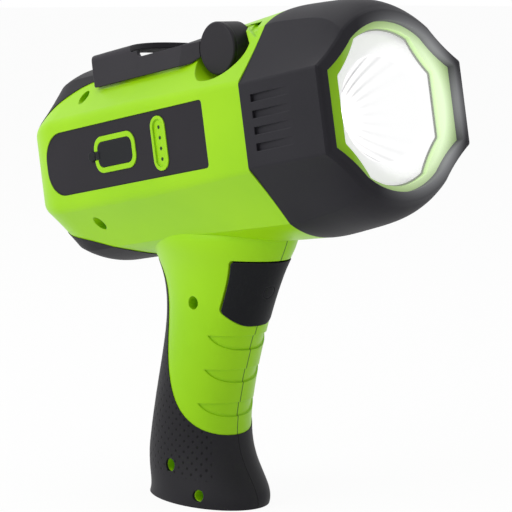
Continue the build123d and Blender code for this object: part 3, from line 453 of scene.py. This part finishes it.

# The lit dish and the lamp, and painted shade on the dish's flutes as faint grey streaks
bowlFluteShade = {
    "count": 18,
    "power": 1.1,
    "outer": 28.0 * mm,
    "edge": 0.6 * mm,
    "inner": 8.0 * mm,
    "fade": 5.0 * mm,
    "patchStops": [(0.35, 0.5), (0.65, 1.0)],
    "tone": colour(140, 140, 143),
}
lampLook = {
    "tone": colour(255, 253, 246),
    "strength": 3.0,
    "rough": 0.4,
    "roughSpread": 0.1,
    "cloudScale": 30.0,
    "cloudDetail": 3.0,
    "cloudStops": [(0.3, 0.94), (0.7, 1.0)],
    "shade": colour(200, 200, 200),
}
dishLook = {
    **lampLook,
    "tone": colour(247, 244, 244),
    "strength": 0.42,
    "rough": 0.3,
    "fluteShade": bowlFluteShade,
}


# 1 along the ridges between the flutes, which run down the bowl at even angles, and fainter in patches:
# where the flutes' painted shade lies
def fluteShadeMask(paint, look, cloud):
    ahead, left, up = paint.inBeam()
    radius = (left * left + up * up) ** 0.5
    turned = paint.maths("ARCTAN2", up, left) * (look["count"] / 2)
    wave = abs(paint.maths("SINE", turned))
    inBowl = radius.falls(look["outer"], look["edge"]) * radius.climbs(look["inner"], look["fade"])
    return (((1.0 - wave) ** look["power"]) * inBowl * paint.ramp(cloud, look["patchStops"])).clamped()


# Lit surface: it shows its own colour and gives it off as light
def glowPaint(name, look):
    paint = Paint(name)
    cloud = paint.noise(look["cloudScale"], look["cloudDetail"])
    glow = paint.mix(paint.ramp(cloud, look["cloudStops"]), look["shade"], look["tone"])
    if "fluteShade" in look:
        # Painted shade: the flute ridges are darkened to grey
        glow = paint.mix(fluteShadeMask(paint, look["fluteShade"], cloud), glow, look["fluteShade"]["tone"])
    inputs = {
        "Base Color": glow,
        "Roughness": look["rough"] + (cloud - 0.5) * look["roughSpread"],
        "Emission Color": glow,
        "Emission Strength": look["strength"],
    }
    return paint.close(paint.node("ShaderNodeBsdfPrincipled", None, inputs))


paints["reflectorGlow"] = glowPaint("reflectorGlow", dishLook)
paints["lampGlow"] = glowPaint("lampGlow", lampLook)

nodePaint = {
    "housing_right": "limePlastic",
    "housing_left": "limePlastic",
    "front_ring": "ringLime",
    "overmold_right": "softBlack",
    "overmold_left": "softBlack",
    "front_bezel": "bezelRubber",
    "lens": "clearLens",
    "lens_gasket": "greySeal",
    "reflector": "reflectorGlow",
    "led_emitter": "lampGlow",
    "led_board": "boardGreen",
    "heat_sink": "castAlloy",
    "heat_sink_screws": "screwSteel",
    "side_panel_right": "panelBlack",
    "side_panel_left": "panelBlack",
    "port_cover": "coverRubber",
    "cover_tether": "coverRubber",
    "charge_jack": "mouldedBlack",
    "indicator_lights": "lightPipe",
    "indicator_board": "boardGreen",
    "battery_tray": "mouldedBlack",
    "battery_cells": "cellBlue",
    "cell_strips": "nickel",
    "driver_board": "boardGreen",
    "stand_arm": "standBlackLit",
    "hub_cap_right": "capBlack",
    "hub_cap_left": "capBlack",
    "stand_pin": "screwSteel",
    "friction_washers": "nylonWhite",
    "trigger": "triggerBlack",
    "trigger_spring": "springSteel",
    "switch_body": "mouldedBlack",
    "switch_plunger": "nylonWhite",
    "housing_screws": "screwSteel",
    "lamp_leads": "wireRed",
    "battery_leads": "wireRed",
    "charge_leads": "wireBlack",
    "switch_leads": "wireBlack",
}
for name, piece in nodes.items():
    piece.data.materials.clear()
    piece.data.materials.append(paints[nodePaint[name]])
print("paints:", len(paints))

mergeGap = 0.01 * mm


# Mesh of a grid of points, rows by columns: the columns wrap round, and an end row at one place is a pole
def gridMesh(name, points, body, paint):
    rows, columns = points.shape[:2]
    corner = np.arange((rows - 1) * columns).reshape(rows - 1, columns)
    after = np.roll(corner, -1, axis=1)
    quads = np.stack([corner, after, after + columns, corner + columns], axis=-1).reshape(-1, 4)
    mesh = bpy.data.meshes.new(name)
    mesh.from_pydata(points.reshape(-1, 3).tolist(), [], quads.tolist())
    mesh.polygons.foreach_set("use_smooth", np.ones(len(quads), dtype=bool))
    mesh.update()
    merged = bmesh.new()
    merged.from_mesh(mesh)
    bmesh.ops.remove_doubles(merged, verts=merged.verts, dist=mergeGap)
    bmesh.ops.recalc_face_normals(merged, faces=merged.faces)
    merged.to_mesh(mesh)
    merged.free()
    mesh.materials.append(paints[paint])
    piece = bpy.data.objects.new(name, mesh)
    bpy.context.scene.collection.objects.link(piece)
    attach(piece, body)
    return piece


# Points round the beam: each row's places along it and radii, turned to each angle
def roundBeam(along, radius, angle):
    return toScene(np.stack([along, radius * np.cos(angle), radius * np.sin(angle)], axis=-1))


# The lit dish, in a flange with a lobed edge: flat ears left and right, lobes above and below
dish = {
    "face": -9.5 * mm,
    "flangeBack": -10.9 * mm,
    "rim": bowlFluteShade["outer"],
    "rimRoll": 0.9 * mm,
    "throat": 7.1 * mm,
    "depth": 29.1 * mm,
    "wall": 1.2 * mm,
    "flutes": bowlFluteShade["count"],
    "fluteDepth": 0.55 * mm,
    "fluteRound": 0.7,
    "fluteRun": 1.15,
    "fluteFade": 0.5,
    "earHalfWidth": 45.6 * mm,
    "earHalfHeight": 19.4 * mm,
    "earLimit": 188.0 * mm,  # stops the ear's upright line from running off above and below
    "lobe": 47.0 * mm,
    "lobeAngle": math.radians(54.0),
    "edgeSoft": 0.5 * mm,
    "columns": 480,
    "faceRows": 8,
    "rollRows": 6,
    "bowlRows": 40,
}


# Radius at each angle: the least of the ear's upright line, the straight flank from the ear's corner to
# the lobe's shoulder, and the lobe's circle. The least is soft: the sum of e to each one's negative, in
# soft lengths, and then the negative of that sum's logarithm
def lobedRadius(angle, look):
    side = np.abs(np.cos(angle))
    rise = np.abs(np.sin(angle))
    corner = np.array([look["earHalfWidth"], look["earHalfHeight"]])
    shoulder = look["lobe"] * np.array([math.cos(look["lobeAngle"]), math.sin(look["lobeAngle"])])
    normal = np.array([shoulder[1] - corner[1], corner[0] - shoulder[0]])
    flank = (corner @ normal) / (side * normal[0] + rise * normal[1])
    ear = look["earHalfWidth"] / np.maximum(side, look["earHalfWidth"] / look["earLimit"])
    lines = np.stack([np.full_like(angle, look["lobe"]), flank, ear])
    return -look["edgeSoft"] * np.log(np.sum(np.exp(-lines / look["edgeSoft"]), axis=0))


# Rows go from the flange's back over its face, round the rolled rim, down the bowl and up behind its wall.
# Bowl: the square of the radius falls evenly with depth, from the rim's to the throat's.
# Flutes: the wall is pressed in by one less the size of a sine round the bowl, to a power that rounds it,
# and by less towards the rim and the throat
def makeDish(look):
    angle = np.linspace(0, 2 * math.pi, look["columns"], endpoint=False)
    flat = np.zeros((1, look["columns"]))
    outline = lobedRadius(angle, look)[None]
    rolled = look["rim"] + look["rimRoll"]
    spread = np.linspace(1, 0, look["faceRows"])[:, None]
    face = rolled + (outline - rolled) * spread
    roll = np.linspace(0, math.pi / 2, look["rollRows"])[:, None]
    rim = rolled - look["rimRoll"] * np.sin(roll) + flat
    rimPlace = look["face"] - look["rimRoll"] * (1 - np.cos(roll)) + flat
    down = np.linspace(0, 1, look["bowlRows"])[:, None]
    bowl = np.sqrt(look["throat"] ** 2 + (look["rim"] ** 2 - look["throat"] ** 2) * (1 - down))
    bowlPlace = look["face"] - look["rimRoll"] - look["depth"] * down + flat
    wave = np.abs(np.sin(angle * look["flutes"] / 2)) ** look["fluteRound"]
    pressed = np.sin(math.pi * np.clip(down * look["fluteRun"], 0, 1)) ** look["fluteFade"]
    fluted = bowl + look["fluteDepth"] * (wave - 1) * pressed
    behind = bowl[::-1] + look["wall"]
    kept = behind[:, 0] < look["rim"]
    back = behind[kept] + flat
    backPlace = bowlPlace[::-1][kept]
    flangeBack = look["flangeBack"] + flat
    facePlace = np.full_like(face, look["face"])
    radius = np.concatenate([outline, face, rim, fluted, back, outline])
    along = np.concatenate([flangeBack, facePlace, rimPlace, bowlPlace, backPlace, flangeBack])
    points = roundBeam(along, radius, angle)
    piece = gridMesh("reflector_dish", points, "housing", "reflectorGlow")
    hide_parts("reflector")


# The emitter's dome
ledDome = {"radius": 7.2 * mm, "height": 1.4 * mm, "seat": -39.5 * mm, "columns": 64, "rows": 16}


# Flattened half sphere that fills the dish's throat: the radius goes with the cosine of the climb and the
# height with its sine. The first row is a pole that closes it behind
def makeDome(look):
    angle = np.linspace(0, 2 * math.pi, look["columns"], endpoint=False)
    flat = np.zeros((1, look["columns"]))
    climb = np.linspace(0, math.pi / 2, look["rows"])[:, None]
    radius = np.concatenate([flat, look["radius"] * np.cos(climb) + flat])
    along = look["seat"] + np.concatenate([flat, look["height"] * np.sin(climb) + flat])
    points = roundBeam(along, radius, angle)
    piece = gridMesh("led_dome", points, "housing", "lampGlow")
    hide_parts("led_emitter")


makeDish(dish)
makeDome(ledDome)
print("lamp made")

# The wound return spring on the trigger's stem, in the place of the CAD's sleeve
returnSpring = {
    "length": 11.9 * mm,
    "coil": 5.25 * mm,
    "wire": 0.42 * mm,
    "turns": 7.5,
    "endTurns": 0.8,
    "ease": 0.25,
    "travel": 1.2 * mm,
    "steps": 360,
    "around": 12,
}


# Helix round the squeeze line: the turn grows evenly, and the place along the line climbs between the flat
# end turns, eased in and out. A round wire is carried along it, and its ends close at poles
def makeSpring(look):
    low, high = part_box("trigger_spring")
    middle = np.array((low + high) / 2)
    joints = {joint["name"]: joint for joint in frame["record"]["behaviour"]["joints"]}
    axis = np.array(joints["trigger_squeeze"]["axis"])
    inward = axis / np.linalg.norm(axis)
    side = np.array([0.0, 1.0, 0.0])
    upward = np.cross(inward, side)
    share = np.linspace(0, 1, look["steps"])
    turn = 2 * math.pi * look["turns"] * share
    flat = look["endTurns"] / look["turns"]
    even = np.clip((share - flat) / (1 - 2 * flat), 0, 1)
    eased = even * even * (3 - 2 * even)
    climb = eased * look["ease"] + even * (1 - look["ease"])
    along = (climb - 0.5) * (look["length"] - 2 * look["wire"])
    outward = np.cos(turn)[:, None] * side + np.sin(turn)[:, None] * upward
    line = middle + along[:, None] * inward + look["coil"] * outward
    ring = np.linspace(0, 2 * math.pi, look["around"], endpoint=False)
    wire = np.cos(ring)[None, :, None] * outward[:, None] + np.sin(ring)[None, :, None] * inward
    poles = np.repeat(line[[0, -1], None], look["around"], axis=1)
    points = np.concatenate([poles[:1], line[:, None] + look["wire"] * wire, poles[1:]])
    piece = gridMesh("return_spring", points, "housing", "springSteel")
    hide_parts("trigger_spring")
    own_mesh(piece)


makeSpring(returnSpring)
print("spring made")

# Floor and sky: white where they are looked at, dimmer as light on the object
stageLook = {"floorSize": 60.0, "floorColour": white, "floorGlow": 0.94, "skyStrength": 0.5}


def makeStage(look):
    half = look["floorSize"] / 2
    corners = [(-half, -half, 0), (half, -half, 0), (half, half, 0), (-half, half, 0)]
    mesh = bpy.data.meshes.new("floor")
    mesh.from_pydata(corners, [], [(0, 1, 2, 3)])
    paint = Paint("paleFloor")
    matte = paint.node("ShaderNodeBsdfDiffuse", None, {"Color": look["floorColour"]})
    shown = paint.node("ShaderNodeEmission", None, {"Color": white, "Strength": 1.0})
    mixed = paint.mixShaders(paint.backdrop() * look["floorGlow"], matte, shown)
    mesh.materials.append(paint.close(mixed))
    floor = bpy.data.objects.new("floor", mesh)
    bpy.context.scene.collection.objects.link(floor)
    world = bpy.data.worlds.new("sky")
    bpy.context.scene.world = world
    sky = Paint("sky", world)
    light = sky.node("ShaderNodeBackground", None, {"Color": white, "Strength": look["skyStrength"]})
    shown = sky.node("ShaderNodeBackground", None, {"Color": white, "Strength": 1.0})
    sky.close(sky.mixShaders(sky.backdrop(), light, shown), "ShaderNodeOutputWorld")


makeStage(stageLook)


# A lamp or the camera into the scene, at its place and looking along a direction
def aim(piece, place, direction):
    piece.location = place
    piece.rotation_euler = Vector(direction).to_track_quat("-Z", "Y").to_euler()
    bpy.context.scene.collection.objects.link(piece)


lamps = {
    "keyLamp": {"place": (-0.6, -1.5, 0.9), "target": (0, 0, 0.18), "size": 1.0, "watts": 14.0},
    "topLamp": {"place": (-0.4, 0.1, 1.6), "target": (0, 0, 0.2), "size": 1.0, "watts": 6.0},
}
for name, look in lamps.items():
    lamp = bpy.data.lights.new(name, "AREA")
    lamp.energy = look["watts"]
    lamp.size = look["size"]
    piece = bpy.data.objects.new(name, lamp)
    aim(piece, look["place"], Vector(look["target"]) - Vector(look["place"]))

# Camera at the photograph's place
view = {
    "place": (889.4 * mm, -748.9 * mm, 290.1 * mm),
    "direction": (-0.7435, 0.6564, -0.1281),
    "lens": 144.04,
    "sensor": 36.0,
}
camera = bpy.data.objects.new("camera", bpy.data.cameras.new("camera"))
camera.data.lens = view["lens"]
camera.data.sensor_width = view["sensor"]
aim(camera, view["place"], view["direction"])
bpy.context.scene.camera = camera
bpy.context.scene.view_settings.view_transform = "Standard"
print("stage, lamps and camera set")
